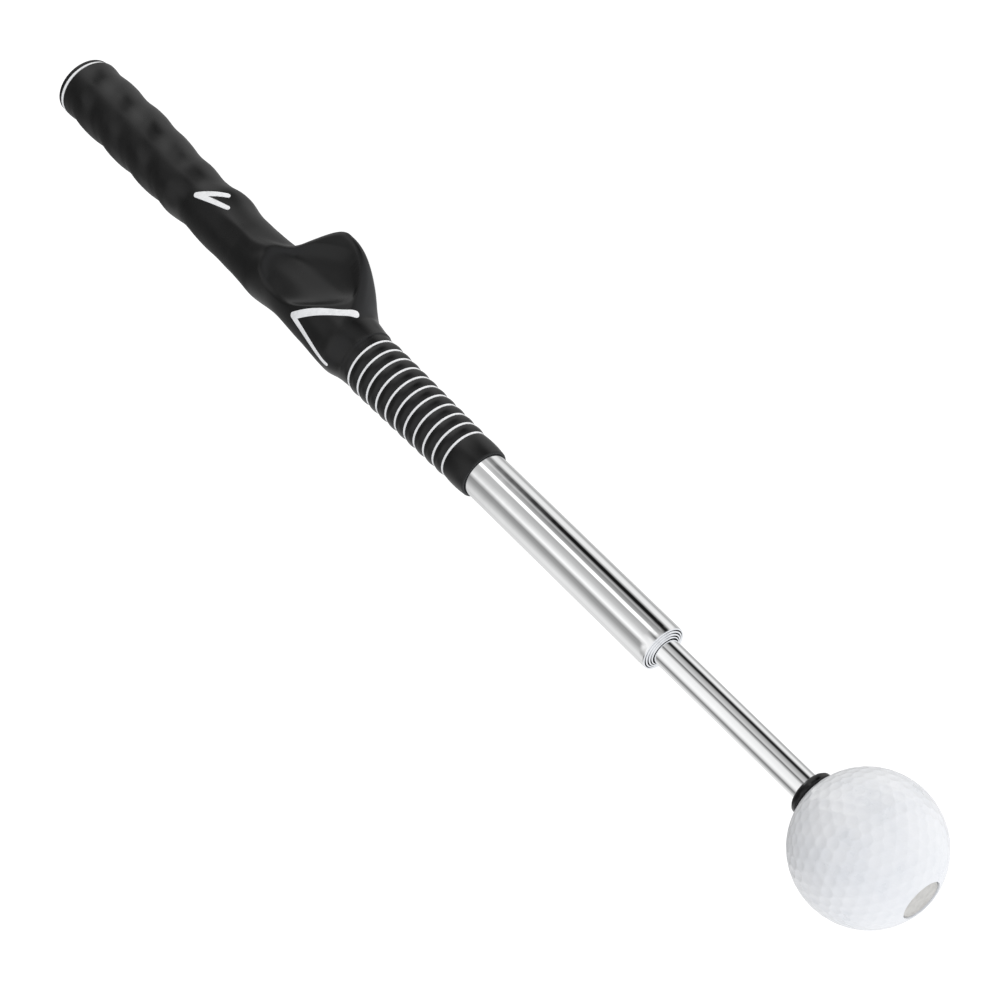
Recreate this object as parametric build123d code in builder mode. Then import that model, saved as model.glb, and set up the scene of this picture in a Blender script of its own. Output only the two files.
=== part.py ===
"""Telescopic golf swing trainer: a sculpted rubber grip with a thumb wing, five nested
steel tubes that slide and turn in brass bushes, and a drilled golf ball on the last one.

Frame: +X runs along the stick from the butt of the grip (x = 0) to the ball, +Z is up with
the stick lying down on its ball and the tip of its thumb wing. Millimetres.
"""
from build123d import *
import os
from math import cos, exp, pi, radians, sin, sqrt

os.makedirs("parts", exist_ok=True)

# ------------------------------------------------------------------ driving dimensions
BALL_D = 42.67              # regulation golf ball
BALL_X = 367.0              # ball centre from the butt face
TUBE_R = 7.25               # outer tube
ROD_R = 4.2                 # last and thinnest section
TUBE_END_X = 285.0          # mouth of the outer tube
GRIP_END_X = 206.0          # mouth of the rubber grip
WING_CLOCK = -32.0          # where the wing points, about +X from +Y: below the horizontal
FACE_CLOCK = WING_CLOCK + 90.0   # where the marked face looks

# grip
GRIP_START_X = 2.8          # the rubber starts here, behind the cap and the white ring
SCULPT_END_X = 149.5        # sculpted part ends, ribbed part starts
GRIP_BORE_R = TUBE_R        # rubber is moulded onto the tube
RIB_START_R = 9.15
RIB_END_R = 8.2
RIB_PITCH = 4.36
RIB_BULGE = 0.35
RING_COUNT = 11
RING_FIRST_X = 153.0
RING_WIDTH = 0.8
RING_DEPTH = 0.6

# butt
CAP_R = 10.0
CAP_LENGTH = 1.7
BUTT_RING_R = 10.1
PLUG_R = 5.2
PLUG_END_X = 22.0
TUBE_START_X = 4.0

# telescopic sections
SECTION_COUNT = 4           # sliding sections inside the outer tube
TUBE_WALL = 0.45
RADIUS_STEP = (TUBE_R - ROD_R) / SECTION_COUNT
RUNNING_GAP = 0.06          # radial clearance of every running fit
MOUTH_LENGTH = 3.0          # rolled-in mouth that keeps the next section in
MOUTH_STEP = 0.3            # each mouth stands this much further out than the one outside
NECK_LENGTH = 14.0          # necked-in inner end of a section, under its bush
NECK_DROP = 0.42
LIP_LENGTH = 0.8
SECTION_START_X = 86.0      # inner end of the widest sliding section
STOP_GAP = 0.4              # axial play left at each stop
BUSH_PLAY = 0.15
LIP_GAP = 0.3
STAGGER = NECK_LENGTH + TUBE_WALL + LIP_LENGTH + STOP_GAP   # each section starts this much later

# ball end
COLLAR_R = 7.0
COLLAR_BACK_X = 342.8
BALL_SEAT_R = 5.4
BALL_HOLE_R = 2.8
COUNTERBORE_R = 6.35
COUNTERBORE_X = 379.0       # bottom of the counterbore that opens at the far end of the ball
SCREW_R = 2.5
SCREW_HEAD_R = 4.6
SCREW_HEAD_LENGTH = 3.2
WASHER_LENGTH = 1.2
INSERT_LENGTH = 18.0
END_PLUG_RECESS = 0.5
END_PLUG_LENGTH = 2.0

BALL_R = BALL_D / 2
ACROSS = Plane(origin=(0, 0, 0), x_dir=(0, 1, 0), z_dir=(1, 0, 0))   # looks along the stick
ALONG = Plane.XZ                                                      # holds the stick's axis


def save(part, name):
    """Label a finished piece and write its file."""
    part.label = name
    export_step(part, "parts/" + name + ".step")


def smooth(value, low, high):
    """Ramp from 0 at low to 1 at high, level at both ends."""
    t = min(max((value - low) / (high - low), 0.0), 1.0)
    return t * t * (3 - 2 * t)


def smooth_min(a, b, radius):
    """The smaller of two distances, with the corner between them rounded."""
    h = max(radius - abs(a - b), 0.0) / radius
    return min(a, b) - h * h * radius / 4


def smooth_max(a, b, radius):
    """The larger of two distances, with the corner between them rounded."""
    return -smooth_min(-a, -b, radius)


# ------------------------------------------------------------------ the grip's surface
# Round the grip, angle 0 is the wing's side and 90 degrees is the marked face.
SPIRAL_PITCH = 15.5         # from one valley to the next along the grip
SPIRAL_FIRST_X = 7.2
SPIRAL_DEPTH = 0.6
WING_R = 25.4
WING_ROOT_R = 8.0
CORE_R = 8.1                # rubber left over the tube under the thumb dish
WING_RISE = (102.8, 119.2)  # where the wing grows out of the grip
WING_FALL = (121.4, 143.0)  # and where it runs back into it
WING_TOP = 8.5              # height of the wing's face side above the stick's axis
WING_ROUND = 2.6
WING_BLEND = 3.5            # fillet between the wing and the grip
DISH_CENTRE = (122.3, 9.1, 17.0)      # along the stick, towards the wing, towards the face
DISH_HALF = (22.0, 12.5, 10.3)        # half sizes of the scooped-out thumb dish
DISH_TURN = radians(40.0)             # the dish runs this much towards the wing
DISH_RIM = 1.4                        # width of the raised rim left round the wing
DISH_FREE_R = 13.0                    # inside this radius the dish needs no rim
DISH_RISE = 0.02                      # the floor of the dish climbs towards the wing's tip
DISH_CORE_BLEND = 3.6
GRIP_PROFILE = ((0, 10.2), (10, 10.55), (58, 10.5), (68, 9.45), (92, 9.2), (104, 10.1),
                (116, 9.4), (128, 9.9), (142, 10.4), (149.5, 9.35))


def body_radius(x):
    """Radius of the grip without its spiral, ridges and wing."""
    for (x0, r0), (x1, r1) in zip(GRIP_PROFILE, GRIP_PROFILE[1:]):
        if x <= x1:
            return r0 + (r1 - r0) * smooth(x, x0, x1)
    return GRIP_PROFILE[-1][1]


def wing_side_relief(x, angle):
    """The grip is slimmer on the wing's side, and wanders a little off the tube's axis."""
    side = (0.5 + 0.5 * cos(angle)) ** 2
    wander = 0.85 * smooth(x, 60, 85) - 0.6 * smooth(x, 100, 112) - 0.25
    return 1.4 * side * smooth(x, 34, 56) * (1 - smooth(x, 64, 76)) + wander * cos(angle)


def spiral(x, angle):
    """Depth of the two-start finger spiral, with broad ridges and narrower valleys."""
    turns = (x - SPIRAL_FIRST_X) / SPIRAL_PITCH - angle / pi
    valley = (0.5 + 0.5 * cos(2 * pi * turns)) ** 1.5
    face = exp(-((angle - radians(75)) / radians(75)) ** 2)
    fade_face = 1 - smooth(x, 50, 62)
    fade_back = 1 - 0.6 * smooth(x, 56, 72) - 0.4 * smooth(x, 100, 128)
    start = smooth(x, 3, 8)
    return SPIRAL_DEPTH * valley * start * (face * fade_face + (1 - face) * fade_back)


def pad(x, angle):
    """Raised pad under the small mark, and the shoulder it ends in on the wing's side."""
    crest = radians(105) - radians(105) * smooth(x, 58, 84)
    across = (angle - crest) / radians(34)
    along = smooth(x, 66, 78) * (1 - smooth(x, 79, 88))
    return 1.45 * along * exp(-across * across)


def thumb_ridge(x, angle):
    """Rounded ridge that sweeps from the small mark over to the root of the wing."""
    crest = radians(78) - radians(45) * smooth(x, 96, 114)
    across = (angle - crest) / radians(13)
    along = smooth(x, 78, 90) * (1 - smooth(x, 108, 116))
    return 0.9 * along * exp(-across * across)


def mark_plateau(x, angle):
    """Fuller surface that carries the large mark and meets the ribs in a shoulder."""
    across = (angle - radians(125)) / radians(62)
    along = smooth(x, 122, 140) * (1 - smooth(x, 143, 149.5))
    return 0.55 * along * exp(-across * across * across * across)


def dish_bank(x, angle):
    """Fuller face side that the thumb dish is sunk into."""
    across = (angle - radians(88)) / radians(38)
    along = smooth(x, 98, 111) * (1 - smooth(x, 128, 141))
    return 1.3 * along * exp(-across * across)


def wing_reach(x):
    """How far the wing stands from the stick's axis."""
    past_tip = min(max((x - WING_FALL[0]) / (WING_FALL[1] - WING_FALL[0]), 0.0), 1.0)
    grow = min(smooth(x, *WING_RISE), 1 - past_tip ** 1.85)
    return WING_ROOT_R + (WING_R - WING_ROOT_R) * grow


def grip_field(x, radius, angle):
    """Negative inside the rubber and positive outside it, roughly a distance."""
    over = radius * cos(angle)
    up = radius * sin(angle)
    round_body = radius - body_radius(x) - pad(x, angle) - thumb_ridge(x, angle)
    round_body = round_body + spiral(x, angle) + wing_side_relief(x, angle)
    round_body = round_body - mark_plateau(x, angle) - dish_bank(x, angle)
    underside = -7.2 + 0.85 * (over - 8)
    plate = smooth_max(up - WING_TOP, (underside - up) * 0.76, WING_ROUND)
    plate = smooth_max(plate, radius - wing_reach(x), WING_ROUND)
    plate = smooth_max(plate, 2 - over, WING_ROUND)
    solid = smooth_min(round_body, plate, WING_BLEND)
    dx = x - DISH_CENTRE[0]
    dw = over - DISH_CENTRE[1]
    lengthwise = (dx * cos(DISH_TURN) + dw * sin(DISH_TURN)) / DISH_HALF[0]
    sideways = (dw * cos(DISH_TURN) - dx * sin(DISH_TURN)) / DISH_HALF[1]
    height = (up - DISH_CENTRE[2] - DISH_RISE * max(radius - 13, 0) ** 2) / DISH_HALF[2]
    scoop = (sqrt(lengthwise ** 4 + sideways ** 4 + height ** 2) - 1) * DISH_HALF[2]
    scoop = smooth_max(scoop, radius - max(wing_reach(x) - DISH_RIM, DISH_FREE_R), 3.5)
    scoop = smooth_max(scoop, CORE_R - radius, DISH_CORE_BLEND)
    return smooth_max(solid, -scoop, 0.9)


def grip_radius(x, angle):
    """Distance from the axis to the grip's surface, found by halving."""
    inner = TUBE_R
    outer = WING_R + 4
    for _ in range(26):
        middle = (inner + outer) / 2
        if grip_field(x, middle, angle) > 0:
            outer = middle
        else:
            inner = middle
    return inner


SECTION_POINTS = 48
WING_BEARING = radians(16)


def section_points(x):
    """One outline of the grip, with its points closer together round the wing."""
    points = []
    for index in range(SECTION_POINTS):
        step = 2 * pi * index / SECTION_POINTS - pi
        angle = WING_BEARING + step - 0.72 * sin(step)
        radius = grip_radius(x, angle)
        clock = angle + radians(WING_CLOCK)
        points.append((radius * cos(clock), radius * sin(clock)))
    return points


def section_outline(x):
    """The closed spline of one outline; equal parameters keep the lofted skin light."""
    evenly = [index / SECTION_POINTS for index in range(SECTION_POINTS + 1)]
    return Edge.make_spline(section_points(x), periodic=True, parameters=evenly)


LOFT_COUNT = 11             # the sculpted part is lofted in short lengths, end to end
STEPS_PER_LOFT = 4
sculpt_span = SCULPT_END_X - GRIP_START_X
step_length = sculpt_span / (LOFT_COUNT * STEPS_PER_LOFT)

with BuildPart() as sculpted_grip:
    for length in range(LOFT_COUNT):
        for step in range(STEPS_PER_LOFT + 1):
            station = GRIP_START_X + step_length * (length * STEPS_PER_LOFT + step)
            with BuildSketch(ACROSS.offset(station)):
                with BuildLine():
                    add(section_outline(station))
                make_face()
        loft()
    with BuildSketch(ACROSS.offset(GRIP_START_X)):
        Circle(GRIP_BORE_R)
    extrude(amount=sculpt_span, mode=Mode.SUBTRACT)

# ------------------------------------------------------------------ white marks
# An arm of a mark runs between two places (x, angle in degrees) with a width at each.
SMALL_MARK = (((69.6, 91), (77.0, 50), 1.9, 1.7), ((69.6, 91), (81.0, 67.6), 1.9, 1.7))
LARGE_MARK = (((125.9, 124.3), (141.4, 48.4), 2.3, 2.1), ((125.9, 124.3), (144.1, 150), 2.1, 1.3))
MARK_FLOOR_R = 8.3
MARK_REACH_R = 14.0
MARK_SURFACE_R = 10.2


def mark_arm(start, end, start_width, end_width):
    """Prism of one arm, square to the grip's surface at the middle of the arm."""
    bearing = radians((start[1] + end[1]) / 2)
    clock = bearing + radians(WING_CLOCK)
    facing = Plane(origin=(0, 0, 0), x_dir=(1, 0, 0), z_dir=(0, cos(clock), sin(clock)))
    ends = [(x, MARK_SURFACE_R * sin(bearing - radians(angle))) for x, angle in (start, end)]
    with BuildSketch(facing) as outline:
        with Locations(ends[0]):
            Circle(start_width / 2)
        with Locations(ends[1]):
            Circle(end_width / 2)
        make_hull()
    return extrude(outline.sketch, amount=MARK_REACH_R)


small_arms = [mark_arm(*arm) for arm in SMALL_MARK]
large_arms = [mark_arm(*arm) for arm in LARGE_MARK]

with BuildPart() as mark_floor:
    with BuildSketch(ACROSS.offset(GRIP_START_X)):
        Circle(MARK_FLOOR_R)
    extrude(amount=sculpt_span)

with BuildPart() as v_mark_small:
    add(small_arms)
    add(sculpted_grip.part, mode=Mode.INTERSECT)
    add(mark_floor.part, mode=Mode.SUBTRACT)
save(v_mark_small.part, "v_mark_small")

with BuildPart() as v_mark_large:
    add(large_arms)
    add(sculpted_grip.part, mode=Mode.INTERSECT)
    add(mark_floor.part, mode=Mode.SUBTRACT)
save(v_mark_large.part, "v_mark_large")

# ------------------------------------------------------------------ ribbed end of the grip


def rib_radius(x):
    """Radius at the foot of the ribs, where the white rings lie."""
    span = RIB_PITCH * (RING_COUNT - 1)
    return RIB_START_R + (RIB_END_R - RIB_START_R) * (x - RING_FIRST_X) / span


HALF_RING = RING_WIDTH / 2
RIB_ROOT = 1.5              # the ribbed part is rooted this far into the sculpted part
RIB_ROOT_R = 8.4
MOUTH_BULGE_R = 8.45
MOUTH_LIP_R = 8.15
MOUTH_ROUND = 0.5
SHOULDER_STEP = 0.05        # the ribbed part starts a hair below the sculpted surface
rib_shoulder_r = body_radius(SCULPT_END_X) - SHOULDER_STEP
ring_centres = [RING_FIRST_X + RIB_PITCH * i for i in range(RING_COUNT)]
last_ring_edge = ring_centres[-1] + HALF_RING

with BuildPart() as ribbed_grip:
    with BuildSketch(ALONG):
        with BuildLine():
            Polyline((SCULPT_END_X, GRIP_BORE_R), (SCULPT_END_X - RIB_ROOT, GRIP_BORE_R),
                     (SCULPT_END_X - RIB_ROOT, RIB_ROOT_R), (SCULPT_END_X, RIB_ROOT_R),
                     (SCULPT_END_X, rib_shoulder_r), (ring_centres[0] - HALF_RING, RIB_START_R))
            for centre in ring_centres:
                foot = rib_radius(centre)
                floor = foot - RING_DEPTH
                Polyline((centre - HALF_RING, foot), (centre - HALF_RING, floor),
                         (centre + HALF_RING, floor), (centre + HALF_RING, foot))
            for centre in ring_centres[:-1]:
                middle = centre + RIB_PITCH / 2
                ThreePointArc((centre + HALF_RING, rib_radius(centre)),
                              (middle, rib_radius(middle) + RIB_BULGE),
                              (centre + RIB_PITCH - HALF_RING, rib_radius(centre + RIB_PITCH)))
            ThreePointArc((last_ring_edge, RIB_END_R),
                          ((last_ring_edge + GRIP_END_X) / 2, MOUTH_BULGE_R),
                          (GRIP_END_X - MOUTH_ROUND, MOUTH_LIP_R))
            Polyline((GRIP_END_X - MOUTH_ROUND, MOUTH_LIP_R), (GRIP_END_X, MOUTH_LIP_R - MOUTH_ROUND),
                     (GRIP_END_X, GRIP_BORE_R), (SCULPT_END_X, GRIP_BORE_R))
        make_face()
    revolve(axis=Axis.X)

with BuildPart() as grip_sleeve:
    add(sculpted_grip.part)
    add(v_mark_small.part, mode=Mode.SUBTRACT)
    add(v_mark_large.part, mode=Mode.SUBTRACT)
    add(ribbed_grip.part)
save(grip_sleeve.part, "grip_sleeve")

for number, centre in enumerate(ring_centres, start=1):
    with BuildPart() as ring_mark:
        with BuildSketch(ACROSS.offset(centre - HALF_RING)):
            Circle(rib_radius(centre))
            Circle(rib_radius(centre) - RING_DEPTH, mode=Mode.SUBTRACT)
        extrude(amount=RING_WIDTH)
    save(ring_mark.part, "ring_mark_%02d" % number)

# ------------------------------------------------------------------ butt of the grip
tube_bore_r = TUBE_R - TUBE_WALL

with BuildPart() as butt_cap:
    with BuildSketch(ACROSS):
        Circle(CAP_R)
    extrude(amount=CAP_LENGTH)
    fillet(butt_cap.edges().sort_by(Axis.X)[0], radius=CAP_LENGTH / 2)
    with BuildSketch(ACROSS.offset(CAP_LENGTH)):
        Circle(tube_bore_r)
    extrude(amount=PLUG_END_X - CAP_LENGTH)
    with BuildSketch(ACROSS.offset(2 * CAP_LENGTH)):
        Circle(PLUG_R)
    extrude(amount=PLUG_END_X, mode=Mode.SUBTRACT)
save(butt_cap.part, "butt_cap")

with BuildPart() as butt_ring:
    with BuildSketch(ACROSS.offset(CAP_LENGTH)):
        Circle(BUTT_RING_R)
        Circle(tube_bore_r, mode=Mode.SUBTRACT)
    extrude(amount=GRIP_START_X - CAP_LENGTH)
    fillet(butt_ring.edges().filter_by(GeomType.CIRCLE).group_by(SortBy.RADIUS)[-1], radius=0.25)
save(butt_ring.part, "butt_ring")

# ------------------------------------------------------------------ nested tubes
MOUTH_CURL = 0.3            # outer edge of every mouth is curled in by this much
CURL_LENGTH = 1.4
BEAD_X = SECTION_START_X - LIP_LENGTH - STOP_GAP - 2.0
BEAD_LENGTH = 1.6
BEAD_DEPTH = 0.6


def section_radius(level):
    """Outer radius of a section: level 0 is the outer tube, the last is the rod."""
    return TUBE_R - level * RADIUS_STEP


def section_start(level):
    """Where the necked inner end of a sliding section begins."""
    return SECTION_START_X + (level - 1) * STAGGER


def section_end(level):
    """Where the mouth of a section ends."""
    return TUBE_END_X + level * MOUTH_STEP


def mouth_profile(level):
    """Points round a rolled-in mouth, from the outside of the tube to its bore."""
    end = section_end(level)
    outer = section_radius(level)
    mouth = section_radius(level + 1) + RUNNING_GAP
    return [(end - CURL_LENGTH, outer), (end, outer - MOUTH_CURL), (end, mouth),
            (end - MOUTH_LENGTH, mouth), (end - MOUTH_LENGTH, outer - TUBE_WALL)]


with BuildPart() as outer_tube:
    with BuildSketch(ALONG):
        with BuildLine():
            curl_start, curl_end, *inside = mouth_profile(0)
            Line((TUBE_START_X, TUBE_R), (BEAD_X, TUBE_R))
            Polyline((BEAD_X, TUBE_R), (BEAD_X + BEAD_DEPTH, TUBE_R - BEAD_DEPTH),
                     (BEAD_X + BEAD_LENGTH, TUBE_R - BEAD_DEPTH), (BEAD_X + BEAD_LENGTH, TUBE_R))
            Line((BEAD_X + BEAD_LENGTH, TUBE_R), curl_start)
            TangentArc(curl_start, curl_end, tangent=(1, 0))
            Polyline(curl_end, *inside, (BEAD_X + BEAD_LENGTH + TUBE_WALL, tube_bore_r),
                     (BEAD_X + BEAD_LENGTH + TUBE_WALL, tube_bore_r - BEAD_DEPTH),
                     (BEAD_X - TUBE_WALL, tube_bore_r - BEAD_DEPTH), (BEAD_X - TUBE_WALL, tube_bore_r),
                     (TUBE_START_X, tube_bore_r), (TUBE_START_X, TUBE_R))
        make_face()
    revolve(axis=Axis.X)
save(outer_tube.part, "outer_tube")


def neck_profile(level):
    """Points round a necked inner end, from the bore to the outside of the tube."""
    start = section_start(level)
    shoulder = start + NECK_LENGTH
    outer = section_radius(level)
    neck = outer - NECK_DROP
    lip = section_radius(level - 1) - TUBE_WALL - LIP_GAP
    return [(shoulder + TUBE_WALL, outer - TUBE_WALL), (shoulder + TUBE_WALL, neck - TUBE_WALL),
            (start - LIP_LENGTH, neck - TUBE_WALL), (start - LIP_LENGTH, lip), (start, lip),
            (start, neck), (shoulder, neck), (shoulder, outer)]


for level in range(1, SECTION_COUNT):
    with BuildPart() as sliding_tube:
        with BuildSketch(ALONG):
            with BuildLine():
                curl_start, curl_end, *inside = mouth_profile(level)
                outline = neck_profile(level)
                Line(outline[-1], curl_start)
                TangentArc(curl_start, curl_end, tangent=(1, 0))
                Polyline(curl_end, *inside, *outline)
            make_face()
        revolve(axis=Axis.X)
    save(sliding_tube.part, "tube_%d" % (level + 1))

for level in range(1, SECTION_COUNT + 1):
    bush_start = section_start(level) + BUSH_PLAY
    with BuildPart() as bush:
        with BuildSketch(ACROSS.offset(bush_start)):
            Circle(section_radius(level - 1) - TUBE_WALL - RUNNING_GAP)
            Circle(section_radius(level) - NECK_DROP + RUNNING_GAP, mode=Mode.SUBTRACT)
        extrude(amount=NECK_LENGTH - 2 * BUSH_PLAY)
    save(bush.part, "bush_%d" % (level + 1))

# ------------------------------------------------------------------ rod and ball
ball_seat_x = BALL_X - sqrt(BALL_R ** 2 - BALL_SEAT_R ** 2)
rod_bore_r = ROD_R - TUBE_WALL

with BuildPart() as ball_rod:
    with BuildSketch(ALONG):
        with BuildLine():
            outline = neck_profile(SECTION_COUNT)
            Polyline(outline[-1], (ball_seat_x, ROD_R), (ball_seat_x, rod_bore_r), *outline)
        make_face()
    revolve(axis=Axis.X)
save(ball_rod.part, "ball_rod")

with BuildPart() as rod_insert:
    with BuildSketch(ACROSS.offset(ball_seat_x - INSERT_LENGTH)):
        Circle(rod_bore_r)
        Circle(SCREW_R + RUNNING_GAP, mode=Mode.SUBTRACT)
    extrude(amount=INSERT_LENGTH)
save(rod_insert.part, "rod_insert")

COLLAR_ROUND = 1.3
COLLAR_RIM_R = COLLAR_R - 0.4
collar_front_x = BALL_X - sqrt(BALL_R ** 2 - COLLAR_RIM_R ** 2) - 0.1

with BuildPart() as ball_collar:
    with BuildSketch(ALONG):
        with BuildLine():
            Line((COLLAR_BACK_X, ROD_R + RUNNING_GAP), (COLLAR_BACK_X, COLLAR_R - COLLAR_ROUND))
            TangentArc((COLLAR_BACK_X, COLLAR_R - COLLAR_ROUND),
                       (COLLAR_BACK_X + COLLAR_ROUND, COLLAR_R), tangent=(0, 1))
            Polyline((COLLAR_BACK_X + COLLAR_ROUND, COLLAR_R), (collar_front_x - 0.4, COLLAR_R),
                     (collar_front_x, COLLAR_RIM_R), (ball_seat_x, BALL_SEAT_R),
                     (ball_seat_x, ROD_R + RUNNING_GAP), (COLLAR_BACK_X, ROD_R + RUNNING_GAP))
        make_face()
    revolve(axis=Axis.X)
save(ball_collar.part, "ball_collar")

with BuildPart() as ball:
    with Locations((BALL_X, 0, 0)):
        Sphere(BALL_R)
    with BuildSketch(ACROSS.offset(ball_seat_x)):
        Circle(BALL_SEAT_R + 0.5)
    extrude(amount=-BALL_R, mode=Mode.SUBTRACT)
    with BuildSketch(ACROSS.offset(ball_seat_x)):
        Circle(BALL_HOLE_R)
    extrude(amount=BALL_D, mode=Mode.SUBTRACT)
    with BuildSketch(ACROSS.offset(COUNTERBORE_X)):
        Circle(COUNTERBORE_R)
    extrude(amount=BALL_R, mode=Mode.SUBTRACT)
save(ball.part, "ball")

with BuildPart() as screw_washer:
    with BuildSketch(ACROSS.offset(COUNTERBORE_X)):
        Circle(COUNTERBORE_R - LIP_GAP)
        Circle(BALL_HOLE_R, mode=Mode.SUBTRACT)
    extrude(amount=WASHER_LENGTH)
save(screw_washer.part, "screw_washer")

SOCKET_ACROSS_FLATS = 4.0
SOCKET_DEPTH = 2.0
SCREW_TIP_GAP = 3.0
screw_head_x = COUNTERBORE_X + WASHER_LENGTH
screw_tip_x = ball_seat_x - INSERT_LENGTH + SCREW_TIP_GAP

with BuildPart() as ball_screw:
    with BuildSketch(ACROSS.offset(screw_tip_x)):
        Circle(SCREW_R)
    extrude(amount=screw_head_x - screw_tip_x)
    with BuildSketch(ACROSS.offset(screw_head_x)):
        Circle(SCREW_HEAD_R)
    extrude(amount=SCREW_HEAD_LENGTH)
    fillet(ball_screw.edges().sort_by(Axis.X)[-1], radius=1.2)
    chamfer(ball_screw.edges().sort_by(Axis.X)[0], length=0.6)
    with BuildSketch(ACROSS.offset(screw_head_x + SCREW_HEAD_LENGTH)):
        RegularPolygon(SOCKET_ACROSS_FLATS / 2, 6, major_radius=False)
    extrude(amount=-SOCKET_DEPTH, mode=Mode.SUBTRACT)
save(ball_screw.part, "ball_screw")

end_plug_x = BALL_X + sqrt(BALL_R ** 2 - COUNTERBORE_R ** 2) - END_PLUG_RECESS

with BuildPart() as end_plug:
    with BuildSketch(ACROSS.offset(end_plug_x - END_PLUG_LENGTH)):
        Circle(COUNTERBORE_R)
    extrude(amount=END_PLUG_LENGTH)
    chamfer(end_plug.edges().filter_by(GeomType.CIRCLE).sort_by(Axis.X)[-1], length=0.3)
save(end_plug.part, "end_plug")

# ------------------------------------------------------------------ travels of the joints
for level in range(1, SECTION_COUNT + 1):
    stop = section_end(level - 1) - MOUTH_LENGTH - STOP_GAP
    travel = stop - section_start(level) - NECK_LENGTH
    print("section", level + 1, "slides out by", round(travel, 2), "mm")
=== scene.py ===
import math

import bpy
import numpy as np
from mathutils import Matrix, Vector
from mathutils.geometry import delaunay_2d_cdt


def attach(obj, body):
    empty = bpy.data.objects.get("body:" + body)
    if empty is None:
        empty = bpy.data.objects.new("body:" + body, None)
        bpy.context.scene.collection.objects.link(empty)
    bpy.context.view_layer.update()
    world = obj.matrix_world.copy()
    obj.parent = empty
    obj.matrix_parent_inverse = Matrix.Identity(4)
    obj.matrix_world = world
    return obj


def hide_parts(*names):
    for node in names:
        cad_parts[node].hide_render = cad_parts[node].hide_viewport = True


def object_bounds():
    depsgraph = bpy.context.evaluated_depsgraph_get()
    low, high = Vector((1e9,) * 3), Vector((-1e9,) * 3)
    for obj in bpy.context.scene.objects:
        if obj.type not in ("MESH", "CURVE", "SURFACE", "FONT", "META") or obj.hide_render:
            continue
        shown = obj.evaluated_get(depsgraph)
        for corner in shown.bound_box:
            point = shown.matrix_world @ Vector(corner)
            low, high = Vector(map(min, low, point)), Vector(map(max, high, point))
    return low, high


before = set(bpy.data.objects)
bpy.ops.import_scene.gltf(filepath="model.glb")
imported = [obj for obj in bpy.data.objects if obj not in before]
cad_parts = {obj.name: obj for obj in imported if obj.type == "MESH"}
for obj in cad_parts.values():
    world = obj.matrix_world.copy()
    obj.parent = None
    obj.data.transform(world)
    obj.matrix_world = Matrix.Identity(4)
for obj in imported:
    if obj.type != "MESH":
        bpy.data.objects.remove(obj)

cad_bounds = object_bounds()
MM = 0.001

# ------------------------------------------------------------------ sizes, in millimetres, as in the CAD
BALL_D = 42.67
BALL_R = BALL_D / 2
BALL_X = 367.0
TUBE_R = 7.25
ROD_R = 4.2
TUBE_END_X = 285.0
GRIP_START_X = 2.8
GRIP_END_X = 206.0
SCULPT_END_X = 149.5
WING_CLOCK = math.radians(-32.0)
RIB_START_R, RIB_END_R, RIB_PITCH, RIB_BULGE = 9.15, 8.2, 4.36, 0.35
RING_COUNT, RING_FIRST_X, RING_WIDTH, RING_DEPTH = 11, 153.0, 0.8, 0.6
CAP_R, CAP_LENGTH, BUTT_RING_R, PLUG_R, PLUG_END_X = 10.0, 1.7, 10.1, 5.2, 22.0
TUBE_START_X = 4.0
SECTION_COUNT, TUBE_WALL, RUNNING_GAP = 4, 0.45, 0.06
RADIUS_STEP = (TUBE_R - ROD_R) / SECTION_COUNT
MOUTH_LENGTH, MOUTH_STEP = 3.0, 0.3
MOUTH_OPENING, LAST_MOUTH_OPENING = 0.2, 0.3    # wider than the CAD, so the rims read as separate
NECK_LENGTH, NECK_DROP, LIP_LENGTH, LIP_GAP = 14.0, 0.42, 0.8, 0.3
SECTION_START_X, STOP_GAP = 86.0, 0.4
STAGGER = NECK_LENGTH + TUBE_WALL + LIP_LENGTH + STOP_GAP
BEAD_X = SECTION_START_X - LIP_LENGTH - STOP_GAP - 2.0
BEAD_LENGTH, BEAD_DEPTH = 1.6, 0.6
COLLAR_R, COLLAR_BACK_X, BALL_SEAT_R, BALL_HOLE_R = 7.0, 342.8, 5.4, 2.8
COUNTERBORE_R, COUNTERBORE_X = 6.35, 379.0
END_PLUG_RECESS, END_PLUG_LENGTH = 0.5, 2.0


# ------------------------------------------------------------------ mesh helpers
def make_object(name, points, faces, material, body, nodes=(), sharp=None):
    """A mesh from points in millimetres; it rides on a body and may stand for CAD nodes."""
    mesh = bpy.data.meshes.new(name)
    mesh.from_pydata([tuple(p) for p in np.asarray(points, float) * MM], [], faces)
    mesh.validate()
    mesh.update()
    mesh.shade_smooth()
    if sharp is not None:
        mesh.set_sharp_from_angle(angle=math.radians(sharp))
    mesh.materials.append(material)
    obj = bpy.data.objects.new(name, mesh)
    bpy.context.scene.collection.objects.link(obj)
    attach(obj, body)
    if nodes:
        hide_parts(*nodes)
    return obj


def loop_faces(rows, columns, close_rows):
    """Quads of a grid whose columns close round, and whose rows may close too."""
    faces = []
    for i in range(rows if close_rows else rows - 1):
        a = i * columns
        b = (i + 1) % rows * columns
        for j in range(columns):
            k = (j + 1) % columns
            faces.append((a + j, a + k, b + k, b + j))
    return faces


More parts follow.
